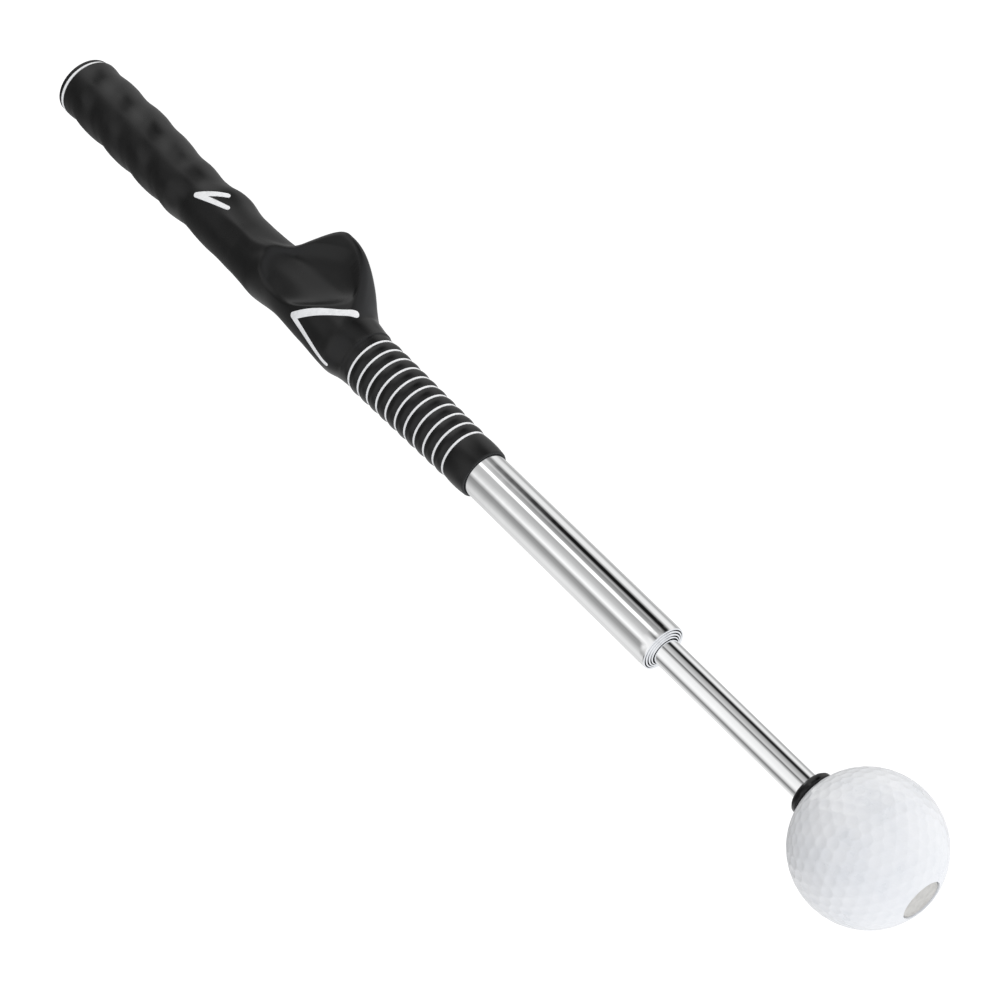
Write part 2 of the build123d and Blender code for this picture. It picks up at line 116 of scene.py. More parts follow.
def rounded(profile):
    """(x, r) points, each with an optional corner radius, with those corners turned into arcs."""
    out = []
    count = len(profile)
    for i, item in enumerate(profile):
        here = Vector(item[:2])
        radius = item[2] if len(item) > 2 else 0.0
        if radius <= 0:
            out.append((here.x, here.y))
            continue
        before = Vector(profile[i - 1][:2]) - here
        after = Vector(profile[(i + 1) % count][:2]) - here
        half = before.angle(after) / 2
        reach = min(radius / math.tan(half), before.length * 0.49, after.length * 0.49)
        radius = reach * math.tan(half)
        start = here + before.normalized() * reach
        end = here + after.normalized() * reach
        centre = here + (before.normalized() + after.normalized()).normalized() * radius / math.sin(half)
        a0 = (start - centre)
        a1 = (end - centre)
        turn = a0.angle_signed(a1)
        steps = max(3, int(abs(turn) / math.radians(15)))
        for k in range(steps + 1):
            p = a0.copy()
            p.rotate(Matrix.Rotation(-turn * k / steps, 2))
            out.append((centre.x + p.x, centre.y + p.y))
    return out


def revolved(name, profile, material, body, nodes, segments=160, sharp=35):
    """A closed (x, r) loop turned round the stick's axis."""
    loop = rounded(profile)
    angles = np.arange(segments) * 2 * math.pi / segments
    points = [(x, r * math.cos(a), r * math.sin(a)) for x, r in loop for a in angles]
    faces = loop_faces(len(loop), segments, True)
    area = sum(loop[i - 1][0] * loop[i][1] - loop[i][0] * loop[i - 1][1] for i in range(len(loop)))
    if area > 0:
        faces = [f[::-1] for f in faces]
    return make_object(name, points, faces, material, body, nodes, sharp)


def turned(name, profile, material, body, nodes, segments=160, sharp=35):
    """An open (x, r) line that starts and ends on the axis, turned round it."""
    line = rounded(profile)
    angles = np.arange(segments) * 2 * math.pi / segments
    points = [(line[0][0], 0, 0)]
    points += [(x, r * math.cos(a), r * math.sin(a)) for x, r in line[1:-1] for a in angles]
    points.append((line[-1][0], 0, 0))
    inner = len(line) - 2
    last = len(points) - 1
    faces = [tuple(i + 1 for i in f) for f in loop_faces(inner, segments, False)]
    faces += [(0, 1 + (j + 1) % segments, 1 + j) for j in range(segments)]
    base = 1 + (inner - 1) * segments
    faces += [(last, base + j, base + (j + 1) % segments) for j in range(segments)]
    if line[-1][0] >= line[0][0]:
        faces = [f[::-1] for f in faces]
    return make_object(name, points, faces, material, body, nodes, sharp)


# ------------------------------------------------------------------ material helpers
class Finish:
    """A procedural material: a principled shader fed by noise in the piece's own space."""

    def __init__(self, name, metallic=0.0, specular=0.5, ior=1.5, coat=0.0, coat_roughness=0.05):
        self.material = bpy.data.materials.new(name)
        self.material.use_nodes = True
        self.nodes = self.material.node_tree.nodes
        self.links = self.material.node_tree.links
        self.shader = self.nodes["Principled BSDF"]
        self.shader.inputs["Metallic"].default_value = metallic
        self.shader.inputs["Specular IOR Level"].default_value = specular
        self.shader.inputs["IOR"].default_value = ior
        self.shader.inputs["Coat Weight"].default_value = coat
        self.shader.inputs["Coat Roughness"].default_value = coat_roughness
        self.coords = self.nodes.new("ShaderNodeTexCoord").outputs["Object"]
        self.normal = None

    def noise(self, scale, detail=3.0, roughness=0.5, stretch=(1, 1, 1), distortion=0.0):
        mapping = self.nodes.new("ShaderNodeMapping")
        mapping.inputs["Scale"].default_value = stretch
        self.links.new(self.coords, mapping.inputs["Vector"])
        node = self.nodes.new("ShaderNodeTexNoise")
        node.inputs["Scale"].default_value = scale
        node.inputs["Detail"].default_value = detail
        node.inputs["Roughness"].default_value = roughness
        node.inputs["Distortion"].default_value = distortion
        self.links.new(mapping.outputs["Vector"], node.inputs["Vector"])
        return node.outputs["Fac"]

    def ramp(self, value, stops):
        node = self.nodes.new("ShaderNodeValToRGB")
        ramp = node.color_ramp
        while len(ramp.elements) < len(stops):
            ramp.elements.new(0.5)
        for element, (place, colour) in zip(ramp.elements, stops):
            element.position = place
            element.color = (*colour, 1) if len(colour) == 3 else colour
        self.links.new(value, node.inputs["Fac"])
        return node.outputs["Color"]

    def span(self, value, low, high, out_low, out_high):
        node = self.nodes.new("ShaderNodeMapRange")
        node.inputs["From Min"].default_value = low
        node.inputs["From Max"].default_value = high
        node.inputs["To Min"].default_value = out_low
        node.inputs["To Max"].default_value = out_high
        self.links.new(value, node.inputs["Value"])
        return node.outputs["Result"]

    def colour(self, value, stops):
        self.links.new(self.ramp(value, stops), self.shader.inputs["Base Color"])
        return self

    def roughness(self, value, low, high):
        self.links.new(self.span(value, 0.3, 0.7, low, high), self.shader.inputs["Roughness"])
        return self

    def bump(self, value, distance, strength=1.0):
        node = self.nodes.new("ShaderNodeBump")
        node.inputs["Strength"].default_value = strength
        node.inputs["Distance"].default_value = distance * MM
        self.links.new(value, node.inputs["Height"])
        if self.normal is not None:
            self.links.new(self.normal, node.inputs["Normal"])
        self.normal = node.outputs["Normal"]
        self.links.new(self.normal, self.shader.inputs["Normal"])
        return self


def grey(value, warmth=0.0):
    return (value * (1 + warmth), value, value * (1 - warmth))


def rubber_finish(name, base, low, high, specular):
    """Moulded rubber: blotchy bloom, a fine sand-blasted grain and a few handling scuffs."""
    f = Finish(name, specular=specular)
    bloom = f.noise(140, 4, 0.6)
    grain = f.noise(5200, 2, 0.6)
    scuffs = f.noise(900, 5, 0.7, (0.35, 1, 1), 0.6)
    f.colour(bloom, [(0.3, grey(base * 0.8)), (0.55, grey(base)), (0.75, grey(base * 1.35, 0.02))])
    f.roughness(bloom, low, high)
    f.bump(grain, 0.012, 0.5)
    f.bump(scuffs, 0.02, 0.25)
    return f.material


def chrome_finish(name, tint, streak):
    """Polished chrome plate: slow drawing waves, faint lengthwise polishing lines and a haze of handling."""
    f = Finish(name, metallic=1.0, specular=0.5)
    lines = f.noise(2600, 2, 0.5, (0.02, 1, 1))
    waves = f.noise(110, 2, 0.5)
    haze = f.noise(60, 4, 0.6)
    dull = tuple(c * 0.96 for c in tint)
    bright = tuple(min(1, c * 1.03) for c in tint)
    f.colour(haze, [(0.3, dull), (0.6, tint), (0.8, bright)])
    f.roughness(haze, streak * 0.7, streak * 1.5)
    f.bump(waves, 0.035, 1.0)
    f.bump(lines, 0.0006, 0.35)
    return f.material


def metal_finish(name, colour, low, high, line_scale, stretch):
    """Turned or drawn metal with tool lines and slight tarnish."""
    f = Finish(name, metallic=1.0)
    tarnish = f.noise(220, 5, 0.6)
    lines = f.noise(line_scale, 2, 0.5, stretch)
    dark = tuple(c * 0.72 for c in colour)
    f.colour(tarnish, [(0.3, dark), (0.55, colour), (0.8, tuple(min(1, c * 1.12) for c in colour))])
    f.roughness(tarnish, low, high)
    f.bump(lines, 0.006, 0.4)
    return f.material


def paint_finish(name, base):
    """White elastomer inlay: slightly matt, faintly soiled in random blotches."""
    f = Finish(name, specular=0.4)
    soil = f.noise(420, 4, 0.6)
    grain = f.noise(4200, 2, 0.5)
    f.colour(soil, [(0.28, grey(base * 0.86)), (0.5, grey(base)), (0.8, grey(min(1, base * 1.05)))])
    f.roughness(soil, 0.38, 0.55)
    f.bump(grain, 0.008, 0.4)
    return f.material


def plastic_finish(name, base, low, high, coat):
    """Glossy moulded plastic with a soft flow ripple and fine dust marks."""
    f = Finish(name, specular=0.15, coat=coat, coat_roughness=0.05)
    flow = f.noise(90, 3, 0.5)
    dust = f.noise(2400, 3, 0.6)
    f.colour(flow, [(0.3, grey(base * 0.7)), (0.6, grey(base)), (0.85, grey(base * 1.5))])
    f.roughness(dust, low, high)
    f.bump(flow, 0.03, 0.4)
    f.bump(dust, 0.003, 0.3)
    return f.material


def ball_finish():
    """Painted ball cover: white paint with a hint of mottling under clear lacquer."""
    f = Finish("ball_skin", specular=0.5, coat=0.55, coat_roughness=0.07)
    mottle = f.noise(130, 4, 0.55)
    orange_peel = f.noise(2200, 2, 0.5)
    f.colour(mottle, [(0.25, (0.80, 0.815, 0.84)), (0.5, (0.86, 0.868, 0.885)), (0.8, (0.90, 0.905, 0.915))])
    f.roughness(mottle, 0.26, 0.38)
    f.bump(orange_peel, 0.004, 0.4)
    return f.material


def plug_finish():
    """Grey moulded plug with a speckled matt face."""
    f = Finish("plug_plastic", specular=0.35)
    blotch = f.noise(500, 4, 0.6)
    speckle = f.noise(3800, 3, 0.65)
    f.colour(blotch, [(0.3, (0.50, 0.49, 0.465)), (0.55, (0.58, 0.568, 0.54)), (0.8, (0.65, 0.637, 0.61))])
    f.roughness(speckle, 0.4, 0.6)
    f.bump(speckle, 0.012, 0.5)
    return f.material


rubber = rubber_finish("grip_rubber", 0.0050, 0.26, 0.36, 0.32)
cap_rubber = rubber_finish("cap_rubber", 0.0055, 0.30, 0.40, 0.30)
white_mark = paint_finish("white_mark", 0.93)
chrome = chrome_finish("tube_chrome", (0.90, 0.905, 0.91), 0.020)
brass = metal_finish("bush_brass", (0.72, 0.50, 0.22), 0.22, 0.36, 2200, (1, 0.05, 0.05))
steel = metal_finish("screw_steel", (0.52, 0.52, 0.53), 0.24, 0.42, 1800, (1, 0.1, 0.1))
collar_plastic = plastic_finish("collar_plastic", 0.004, 0.08, 0.16, 0.35)
ball_skin = ball_finish()
plug_plastic = plug_finish()


# ------------------------------------------------------------------ the grip's surface, as in the CAD
SPIRAL_PITCH, SPIRAL_FIRST_X, SPIRAL_DEPTH = 15.5, 7.2, 0.6
WING_R, WING_ROOT_R, CORE_R = 25.4, 8.0, 8.1
WING_RISE, WING_FALL = (102.8, 119.2), (121.4, 143.0)
WING_TOP, WING_ROUND, WING_BLEND = 8.5, 2.6, 3.5
DISH_CENTRE, DISH_HALF, DISH_TURN = (122.3, 9.1, 17.0), (22.0, 12.5, 10.3), math.radians(40.0)
DISH_RIM, DISH_FREE_R, DISH_RISE, DISH_CORE_BLEND = 1.4, 13.0, 0.02, 3.6
GRIP_PROFILE = ((0, 10.2), (10, 10.55), (58, 10.5), (68, 9.45), (92, 9.2), (104, 10.1),
                (116, 9.4), (128, 9.9), (142, 10.4), (149.5, 9.35))


def smooth(value, low, high):
    t = np.clip((value - low) / (high - low), 0.0, 1.0)
    return t * t * (3 - 2 * t)


def smooth_min(a, b, radius):
    h = np.maximum(radius - np.abs(a - b), 0.0) / radius
    return np.minimum(a, b) - h * h * radius / 4


def smooth_max(a, b, radius):
    return -smooth_min(-a, -b, radius)


def body_radius(x):
    out = np.full_like(x, float(GRIP_PROFILE[-1][1]))
    for (x0, r0), (x1, r1) in reversed(list(zip(GRIP_PROFILE, GRIP_PROFILE[1:]))):
        out = np.where(x <= x1, r0 + (r1 - r0) * smooth(x, x0, x1), out)
    return out


def wing_side_relief(x, angle):
    side = (0.5 + 0.5 * np.cos(angle)) ** 2
    wander = 0.85 * smooth(x, 60, 85) - 0.6 * smooth(x, 100, 112) - 0.25
    return 1.4 * side * smooth(x, 34, 56) * (1 - smooth(x, 64, 76)) + wander * np.cos(angle)


def spiral(x, angle):
    turns = (x - SPIRAL_FIRST_X) / SPIRAL_PITCH - angle / math.pi
    valley = (0.5 + 0.5 * np.cos(2 * math.pi * turns)) ** 1.5
    face = np.exp(-((angle - math.radians(75)) / math.radians(75)) ** 2)
    fade_face = 1 - smooth(x, 50, 62)
    fade_back = 1 - 0.6 * smooth(x, 56, 72) - 0.4 * smooth(x, 100, 128)
    return SPIRAL_DEPTH * valley * smooth(x, 3, 8) * (face * fade_face + (1 - face) * fade_back)


def pad(x, angle):
    crest = math.radians(105) - math.radians(105) * smooth(x, 58, 84)
    across = (angle - crest) / math.radians(34)
    return 1.45 * smooth(x, 66, 78) * (1 - smooth(x, 79, 88)) * np.exp(-across * across)


def thumb_ridge(x, angle):
    crest = math.radians(78) - math.radians(45) * smooth(x, 96, 114)
    across = (angle - crest) / math.radians(13)
    return 0.9 * smooth(x, 78, 90) * (1 - smooth(x, 108, 116)) * np.exp(-across * across)


def mark_plateau(x, angle):
    across = (angle - math.radians(125)) / math.radians(62)
    return 0.55 * smooth(x, 122, 140) * (1 - smooth(x, 143, 149.5)) * np.exp(-across ** 4)


def dish_bank(x, angle):
    across = (angle - math.radians(88)) / math.radians(38)
    return 1.3 * smooth(x, 98, 111) * (1 - smooth(x, 128, 141)) * np.exp(-across * across)


def wing_reach(x):
    past_tip = np.clip((x - WING_FALL[0]) / (WING_FALL[1] - WING_FALL[0]), 0.0, 1.0)
    grow = np.minimum(smooth(x, *WING_RISE), 1 - past_tip ** 1.85)
    return WING_ROOT_R + (WING_R - WING_ROOT_R) * grow


def grip_field(x, radius, angle):
    """Negative inside the rubber and positive outside it."""
    over = radius * np.cos(angle)
    up = radius * np.sin(angle)
    round_body = radius - body_radius(x) - pad(x, angle) - thumb_ridge(x, angle)
    round_body = round_body + spiral(x, angle) + wing_side_relief(x, angle)
    round_body = round_body - mark_plateau(x, angle) - dish_bank(x, angle)
    underside = -7.2 + 0.85 * (over - 8)
    plate = smooth_max(up - WING_TOP, (underside - up) * 0.76, WING_ROUND)
    plate = smooth_max(plate, radius - wing_reach(x), WING_ROUND)
    plate = smooth_max(plate, 2 - over, WING_ROUND)
    solid = smooth_min(round_body, plate, WING_BLEND)
    dx = x - DISH_CENTRE[0]
    dw = over - DISH_CENTRE[1]
    lengthwise = (dx * math.cos(DISH_TURN) + dw * math.sin(DISH_TURN)) / DISH_HALF[0]
    sideways = (dw * math.cos(DISH_TURN) - dx * math.sin(DISH_TURN)) / DISH_HALF[1]
    height = (up - DISH_CENTRE[2] - DISH_RISE * np.maximum(radius - 13, 0) ** 2) / DISH_HALF[2]
    scoop = (np.sqrt(lengthwise ** 4 + sideways ** 4 + height ** 2) - 1) * DISH_HALF[2]
    scoop = smooth_max(scoop, radius - np.maximum(wing_reach(x) - DISH_RIM, DISH_FREE_R), 3.5)
    scoop = smooth_max(scoop, CORE_R - radius, DISH_CORE_BLEND)
    return smooth_max(solid, -scoop, 0.9)


def grip_radius(x, angle):
    """Distance from the axis to the grip's surface, by halving. Angles run from -180 to 180 degrees."""
    x, angle = np.broadcast_arrays(np.asarray(x, float), np.asarray(angle, float))
    inner = np.full(x.shape, TUBE_R)
    outer = np.full(x.shape, WING_R + 4)
    for _ in range(30):
        middle = (inner + outer) / 2
        outside = grip_field(x, middle, angle) > 0
        outer = np.where(outside, middle, outer)
        inner = np.where(outside, inner, middle)
    return inner


def on_grip(x, radius, angle):
    clock = angle + WING_CLOCK
    return np.stack([x, radius * np.cos(clock), radius * np.sin(clock)], -1)


# ------------------------------------------------------------------ grip sleeve
def rib_radius(x):
    return RIB_START_R + (RIB_END_R - RIB_START_R) * (x - RING_FIRST_X) / (RIB_PITCH * (RING_COUNT - 1))


ring_centres = [RING_FIRST_X + RIB_PITCH * i for i in range(RING_COUNT)]
HALF_RING = RING_WIDTH / 2


def rib_profile():
    """(x, r) from the shoulder of the sculpted part to the mouth of the grip."""
    line = [(SCULPT_END_X + 0.25, 9.3), (SCULPT_END_X + 1.2, 9.22)]
    for i, centre in enumerate(ring_centres):
        foot = rib_radius(centre)
        if i == 0:
            line.append((centre - HALF_RING - 0.12, foot))
        line += [(centre - HALF_RING, foot - 0.06), (centre - HALF_RING, foot - RING_DEPTH),
                 (centre + HALF_RING, foot - RING_DEPTH), (centre + HALF_RING, foot - 0.06)]
        end = centre + RIB_PITCH if i < RING_COUNT - 1 else GRIP_END_X + HALF_RING - 0.5
        top = RIB_BULGE if i < RING_COUNT - 1 else 0.27
        last = rib_radius(end) if i < RING_COUNT - 1 else 8.15
        for k in range(0, 13):
            t = k / 12
            x = centre + HALF_RING + 0.1 + (end - centre - RING_WIDTH - 0.2) * t
            r = foot + (last - foot) * t + top * (1 - (2 * t - 1) ** 2)
            line.append((x, r))
    for k in range(1, 7):
        a = math.pi / 2 * k / 6
        line.append((GRIP_END_X - 0.5 + 0.5 * math.sin(a), 7.65 + 0.5 * math.cos(a)))
    return line


def build_grip():
    columns = 360
    step = np.arange(columns) * 2 * math.pi / columns - math.pi
    angle = math.radians(16) + step - 0.45 * np.sin(step)
    folded = (angle + math.pi) % (2 * math.pi) - math.pi
    stations = np.linspace(GRIP_START_X, SCULPT_END_X, 440)
    skin = grip_radius(stations[:, None], folded[None, :])
    rows = [on_grip(np.full(columns, x), skin[i], angle) for i, x in enumerate(stations)]
    rows[0] = on_grip(np.full(columns, GRIP_START_X), skin[0] - 0.25, angle)
    rows.insert(1, on_grip(np.full(columns, GRIP_START_X + 0.08), skin[0] - 0.08, angle))
    ribs = rib_profile()
    rows += [on_grip(np.full(columns, x), np.full(columns, r), angle) for x, r in ribs]
    rows.append(on_grip(np.full(columns, GRIP_END_X), np.full(columns, TUBE_R + 0.25), angle))
    rows.append(on_grip(np.full(columns, GRIP_END_X - 0.25), np.full(columns, TUBE_R + 0.01), angle))
    rows.append(on_grip(np.full(columns, GRIP_START_X), np.full(columns, TUBE_R + 0.01), angle))
    faces = loop_faces(len(rows), columns, True)
    return make_object("grip_skin", np.concatenate(rows), [f[::-1] for f in faces], rubber, "grip",
                       ["grip_sleeve"], 50)


build_grip()

# ------------------------------------------------------------------ V marks
MARK_R = 10.2
SMALL_MARK = (((69.6, 91), (77.0, 50), 1.9, 1.7), ((69.6, 91), (81.0, 67.6), 1.9, 1.7))
LARGE_MARK = (((125.9, 124.3), (141.4, 48.4), 2.3, 2.1), ((125.9, 124.3), (144.1, 150), 2.1, 1.3))


def arm_lines(start, end, start_width, end_width, side):
    """The two edges and the round end of an arm, on the unrolled grip. side is +1 or -1."""
    bearing = math.radians((start[1] + end[1]) / 2)
    t = np.linspace(0, 1, 40)
    across = [math.sin(bearing - math.radians(a)) for a in (start[1], end[1])]
    angle = bearing - np.arcsin(across[0] + (across[1] - across[0]) * t)
    middle = np.stack([start[0] + (end[0] - start[0]) * t, angle * MARK_R], -1)
    along = np.gradient(middle, axis=0)
    along /= np.linalg.norm(along, axis=1)[:, None]
    normal = np.stack([-along[:, 1], along[:, 0]], -1) * side
    half = (start_width + (end_width - start_width) * t)[:, None] / 2
    turn = np.radians(np.arange(15, 180, 15))[:, None]
    cap = middle[-1] + half[-1] * (np.cos(turn) * normal[-1] + np.sin(turn) * along[-1])
    return middle, middle + normal * half, middle - normal * half, cap


def crossing(first, second):
    """Index pair and point where two polylines cross, searched from their far ends."""
    for i in range(len(first) - 2, 0, -1):
        for j in range(len(second) - 2, 0, -1):
            a, b, c, d = first[i], first[i + 1], second[j], second[j + 1]
            m = np.array([b - a, c - d]).T
            if abs(np.linalg.det(m)) < 1e-12:
                continue
            s, t = np.linalg.solve(m, c - a)
            if 0 <= s <= 1 and 0 <= t <= 1:
                return i + 1, j + 1, a + (b - a) * s
    return 1, 1, first[0]


def build_mark(name, node, arms):
    upper = arm_lines(*arms[0], -1)
    lower = arm_lines(*arms[1], 1)
    i, j, corner = crossing(upper[2], lower[2])
    vertex = upper[0][0]
    a0 = upper[1][0] - vertex
    a1 = lower[1][0] - vertex
    start = math.atan2(a1[1], a1[0])
    sweep = (math.atan2(a0[1], a0[0]) - start) % (2 * math.pi)
    if sweep > math.pi * 1.5:
        sweep -= 2 * math.pi
    reach = np.linalg.norm(a0)
    turns = start + sweep * np.linspace(0, 1, 9)[1:-1]
    nose = vertex + reach * np.stack([np.cos(turns), np.sin(turns)], -1)
    outline = np.concatenate([upper[1], upper[3], upper[2][i:][::-1], [corner],
                              lower[2][j:], lower[3][::-1], lower[1][::-1], nose])
    count = len(outline)
    following = np.roll(outline, -1, 0)
    tangent = following - np.roll(outline, 1, 0)
    tangent /= np.linalg.norm(tangent, axis=1)[:, None]
    area = 0.5 * np.sum(outline[:, 0] * following[:, 1] - following[:, 0] * outline[:, 1])
    inward = np.stack([-tangent[:, 1], tangent[:, 0]], -1) * (1 if area > 0 else -1)
    inner = outline + inward * 0.12
    points = [Vector(p) for p in inner]
    edges = [(k, (k + 1) % count) for k in range(count)]
    low, high = outline.min(0), outline.max(0)
    for gx in np.arange(low[0], high[0], 0.4):
        for gy in np.arange(low[1], high[1], 0.4):
            points.append(Vector((gx, gy)))
    flat, _, tris, origins, _, _ = delaunay_2d_cdt(points, edges, [], 1, 1e-4)
    place = {k: v for v, ks in enumerate(origins) for k in ks if k < count}
    top = np.array([tuple(p) for p in flat])

    def lifted(plane, lift):
        angle = plane[:, 1] / MARK_R
        return on_grip(plane[:, 0], grip_radius(plane[:, 0], angle) + lift, angle)

    used = sorted(set(v for f in tris for v in f))
    index = {v: k for k, v in enumerate(used)}
    faces = [tuple(index[v] for v in f) for f in tris]
    crown = lifted(top[used], 0.11)
    rim = lifted(outline, 0.04)
    foot = lifted(outline, -0.6)
    base = len(crown)
    ring = [index[place[k]] for k in range(count)]
    for k in range(count):
        m = (k + 1) % count
        quad = (ring[k], base + k, base + m, ring[m])
        wall = (base + k, base + count + k, base + count + m, base + m)
        faces += [quad, wall] if area > 0 else [quad[::-1], wall[::-1]]
    points3 = np.concatenate([crown, rim, foot])
    return make_object(name, points3, faces, white_mark, "grip", [node], 60)


build_mark("mark_inlay_small", "v_mark_small", SMALL_MARK)
build_mark("mark_inlay_large", "v_mark_large", LARGE_MARK)

# ------------------------------------------------------------------ rings between the ribs
for number, centre in enumerate(ring_centres, start=1):
    foot = rib_radius(centre)
    edge = HALF_RING - 0.01
    revolved("ring_inlay_%02d" % number,
             [(centre - edge, foot - RING_DEPTH), (centre - edge, foot + 0.05, 0.16),
              (centre + edge, foot + 0.05, 0.16), (centre + edge, foot - RING_DEPTH)],
             white_mark, "grip", ["ring_mark_%02d" % number], 200)

# ------------------------------------------------------------------ butt
tube_bore = TUBE_R - TUBE_WALL
turned("butt_cap_moulding",
       [(0.18, 0), (0.18, 6.6, 0.3), (0.0, 7.0, 0.3), (0.0, CAP_R, 0.85), (CAP_LENGTH, CAP_R, 0.2),
        (CAP_LENGTH, tube_bore, 0.1), (PLUG_END_X, tube_bore, 0.5), (PLUG_END_X, PLUG_R, 0.4),
        (2 * CAP_LENGTH, PLUG_R, 0.3), (2 * CAP_LENGTH, 0)],
       cap_rubber, "grip", ["butt_cap"])
revolved("butt_ring_band",
         [(CAP_LENGTH + 0.01, tube_bore + 0.02), (CAP_LENGTH + 0.01, BUTT_RING_R, 0.25),
          (GRIP_START_X - 0.01, BUTT_RING_R, 0.25), (GRIP_START_X - 0.01, tube_bore + 0.02)],
         white_mark, "grip", ["butt_ring"], 200)


# ------------------------------------------------------------------ tubes
def section_radius(level):
    return TUBE_R - level * RADIUS_STEP


def section_start(level):
    return SECTION_START_X + (level - 1) * STAGGER


def mouth_points(level):
    """Rolled-in mouth, from the outside of a section to its bore, with polished round edges."""
    end = TUBE_END_X + level * MOUTH_STEP
    outer = section_radius(level)
    opening = LAST_MOUTH_OPENING if level == SECTION_COUNT - 1 else MOUTH_OPENING
    mouth = section_radius(level + 1) + RUNNING_GAP + opening
    curl = [(end - 0.5, outer, 0.3), (end - 0.1, outer - 0.06, 0.15), (end, outer - 0.16, 0.1)]
    return curl + [(end, mouth, 0.08), (end - MOUTH_LENGTH, mouth, 0.2),
                   (end - MOUTH_LENGTH, outer - TUBE_WALL, 0.1)]


def neck_points(level):
    start = section_start(level)
    shoulder = start + NECK_LENGTH
    outer = section_radius(level)
    neck = outer - NECK_DROP
    lip = section_radius(level - 1) - TUBE_WALL - LIP_GAP
    return [(shoulder + TUBE_WALL, outer - TUBE_WALL, 0.2), (shoulder + TUBE_WALL, neck - TUBE_WALL, 0.2),
            (start - LIP_LENGTH, neck - TUBE_WALL, 0.05), (start - LIP_LENGTH, lip, 0.1),
            (start, lip, 0.1), (start, neck, 0.05), (shoulder, neck, 0.1), (shoulder, outer, 0.15)]


revolved("outer_tube_chromed",
         [(TUBE_START_X, tube_bore, 0.1), (TUBE_START_X, TUBE_R - 0.01, 0.1), (BEAD_X, TUBE_R - 0.01, 0.3),
          (BEAD_X + BEAD_DEPTH, TUBE_R - BEAD_DEPTH, 0.3),
          (BEAD_X + BEAD_LENGTH, TUBE_R - BEAD_DEPTH, 0.1), (BEAD_X + BEAD_LENGTH, TUBE_R - 0.01, 0.1),
          (GRIP_END_X - 1, TUBE_R - 0.01), (GRIP_END_X, TUBE_R)] + mouth_points(0) +
         [(BEAD_X + BEAD_LENGTH + TUBE_WALL, tube_bore, 0.1),
          (BEAD_X + BEAD_LENGTH + TUBE_WALL, tube_bore - BEAD_DEPTH, 0.1),
          (BEAD_X - TUBE_WALL, tube_bore - BEAD_DEPTH, 0.1), (BEAD_X - TUBE_WALL, tube_bore, 0.1)],
         chrome, "grip", ["outer_tube"], 192)

for level in range(1, SECTION_COUNT):
    revolved("tube_%d_chromed" % (level + 1), neck_points(level) + mouth_points(level),
             chrome, "section_%d" % (level + 1), ["tube_%d" % (level + 1)], 192)

ball_seat_x = BALL_X - math.sqrt(BALL_R ** 2 - BALL_SEAT_R ** 2)
revolved("ball_rod_chromed",
         neck_points(SECTION_COUNT) + [(ball_seat_x, ROD_R, 0.1), (ball_seat_x, ROD_R - TUBE_WALL, 0.1)],
         chrome, "ball_end", ["ball_rod"], 160)

# ------------------------------------------------------------------ collar
collar_rim = COLLAR_R - 0.4
collar_front_x = BALL_X - math.sqrt(BALL_R ** 2 - collar_rim ** 2) - 0.1
revolved("collar_dished",
         [(ball_seat_x, ROD_R + RUNNING_GAP, 0.1), (COLLAR_BACK_X + 0.9, ROD_R + RUNNING_GAP, 0.2),
          (COLLAR_BACK_X + 0.5, ROD_R + 0.6, 0.35), (COLLAR_BACK_X + 1.2, COLLAR_R - 0.9, 0.5),
          (COLLAR_BACK_X + 2.0, COLLAR_R - 0.15, 0.5), (collar_front_x - 0.5, COLLAR_R, 0.5),
          (collar_front_x, collar_rim, 0.15), (ball_seat_x, BALL_SEAT_R)],
         collar_plastic, "ball_end", ["ball_collar"], 192)


# ------------------------------------------------------------------ ball
def dimple_centres(frequency):
    """Directions of the corners of a geodesic grid over the ball."""
    g = (1 + math.sqrt(5)) / 2
    corners = np.array([(-1, g, 0), (1, g, 0), (-1, -g, 0), (1, -g, 0), (0, -1, g), (0, 1, g),
                        (0, -1, -g), (0, 1, -g), (g, 0, -1), (g, 0, 1), (-g, 0, -1), (-g, 0, 1)])
    found = {}
    for i in range(12):
        for j in range(i + 1, 12):
            for k in range(j + 1, 12):
                a, b, c = corners[i], corners[j], corners[k]
                if max(np.linalg.norm(a - b), np.linalg.norm(b - c), np.linalg.norm(a - c)) > 2.1:
                    continue
                for u in range(frequency + 1):
                    for v in range(frequency + 1 - u):
                        p = (a * u + b * v + c * (frequency - u - v)) / frequency
                        p = p / np.linalg.norm(p)
                        found[tuple(np.round(p, 5))] = p
    return np.array(list(found.values()))


DIMPLE_R = 1.66
DIMPLE_DEPTH = 0.2
DIMPLE_ROWS = 7                                     # dimples along an edge of the icosahedron
DIMPLE_TILT = Matrix.Rotation(math.radians(24), 3, Vector((0.3, 1.0, 0.5)).normalized())
CHUNK = 20000                                       # points measured against every dimple at a time


